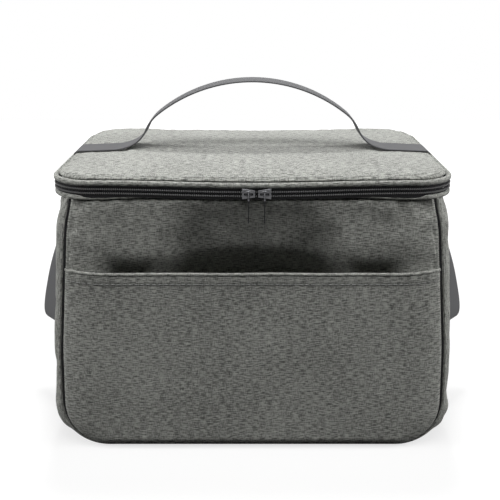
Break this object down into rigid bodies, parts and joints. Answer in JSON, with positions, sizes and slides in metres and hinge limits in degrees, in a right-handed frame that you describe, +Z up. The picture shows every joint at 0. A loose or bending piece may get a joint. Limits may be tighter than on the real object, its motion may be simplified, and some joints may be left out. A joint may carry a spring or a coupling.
{
  "type": "insulated cooler bag",
  "caption": "Soft insulated cooler bag: a rounded box body with a slip pocket in front, a zipped lid that folds back, a webbing carry handle on top and webbing loops at the sides.",
  "frame": {"origin": "middle of the flat base, on the surface that the bag stands on", "axes": "+Z up, -Y the front with the pocket, +X to the right as seen from the front"},
  "size_m": [0.382, 0.236, 0.2935],
  "materials": {
    "oxford": "heathered grey-green woven polyester, matt",
    "webbing": "ribbed dark grey webbing",
    "zip_tape": "black woven tape",
    "zip_teeth": "black nylon coil",
    "binding": "black woven binding tape",
    "foam": "white closed-cell foam",
    "foil": "silver film liner",
    "slider_metal": "dark nickel plate"
  },
  "bodies": {
    "bag_body": {"front_panel": "oxford", "back_panel": "oxford", "gusset": "oxford", "front_piping": "oxford", "back_piping": "oxford", "front_pocket": "oxford", "foam_front": "foam", "foam_back": "foam", "foam_gusset": "foam", "liner_tub": "foil", "mouth_binding": "binding", "zip_lip": "oxford", "zip_tape_lower": "zip_tape", "zip_coil_lower": "zip_teeth", "hinge_cloth_lower": "oxford", "loop_anchor_left": "webbing", "loop_anchor_right": "webbing"},
    "lid": {"lid_panel": "oxford", "lid_piping": "oxford", "lid_band": "oxford", "lid_foam": "foam", "lid_liner": "foil", "lid_binding": "binding", "zip_tape_upper": "zip_tape", "zip_coil_upper": "zip_teeth", "hinge_cloth_upper": "oxford", "handle_tab_left": "webbing", "handle_tab_right": "webbing"},
    "handle": {"handle_strap": "webbing"},
    "slider_left": {"slider_left": "slider_metal"},
    "slider_right": {"slider_right": "slider_metal"},
    "puller_left": {"puller_left": "slider_metal"},
    "puller_right": {"puller_right": "slider_metal"},
    "side_loop_left": {"side_loop_left": "webbing"},
    "side_loop_right": {"side_loop_right": "webbing"}
  },
  "joints": [
    {"name": "lid_hinge", "type": "hinge", "parent": "bag_body", "child": "lid", "pos_m": [0, 0.1155, 0.2192], "axis": [-1, 0, 0], "range_deg": [0, 180]},
    {"name": "handle_swing", "type": "hinge", "parent": "lid", "child": "handle", "pos_m": [0, 0, 0.2463], "axis": [1, 0, 0], "range_deg": [-60, 60], "stiffness_Nm_per_rad": 0.03},
    {"name": "left_slider_travel", "type": "slide", "parent": "bag_body", "child": "slider_left", "axis": [-1, 0, 0], "range_m": [0, 0.112]},
    {"name": "right_slider_travel", "type": "slide", "parent": "bag_body", "child": "slider_right", "axis": [1, 0, 0], "range_m": [0, 0.106]},
    {"name": "left_puller_swing", "type": "hinge", "parent": "slider_left", "child": "puller_left", "pos_m": [-0.0031, -0.11886, 0.2192], "axis": [-1, 0, 0], "range_deg": [0, 150]},
    {"name": "right_puller_swing", "type": "hinge", "parent": "slider_right", "child": "puller_right", "pos_m": [0.0093, -0.11886, 0.2192], "axis": [-1, 0, 0], "range_deg": [0, 150]},
    {"name": "left_loop_swing", "type": "hinge", "parent": "bag_body", "child": "side_loop_left", "pos_m": [-0.15811, 0, 0.2063], "axis": [0, 1, 0], "range_deg": [0, 85]},
    {"name": "right_loop_swing", "type": "hinge", "parent": "bag_body", "child": "side_loop_right", "pos_m": [0.15811, 0, 0.2063], "axis": [0, -1, 0], "range_deg": [0, 85]}
  ]
}
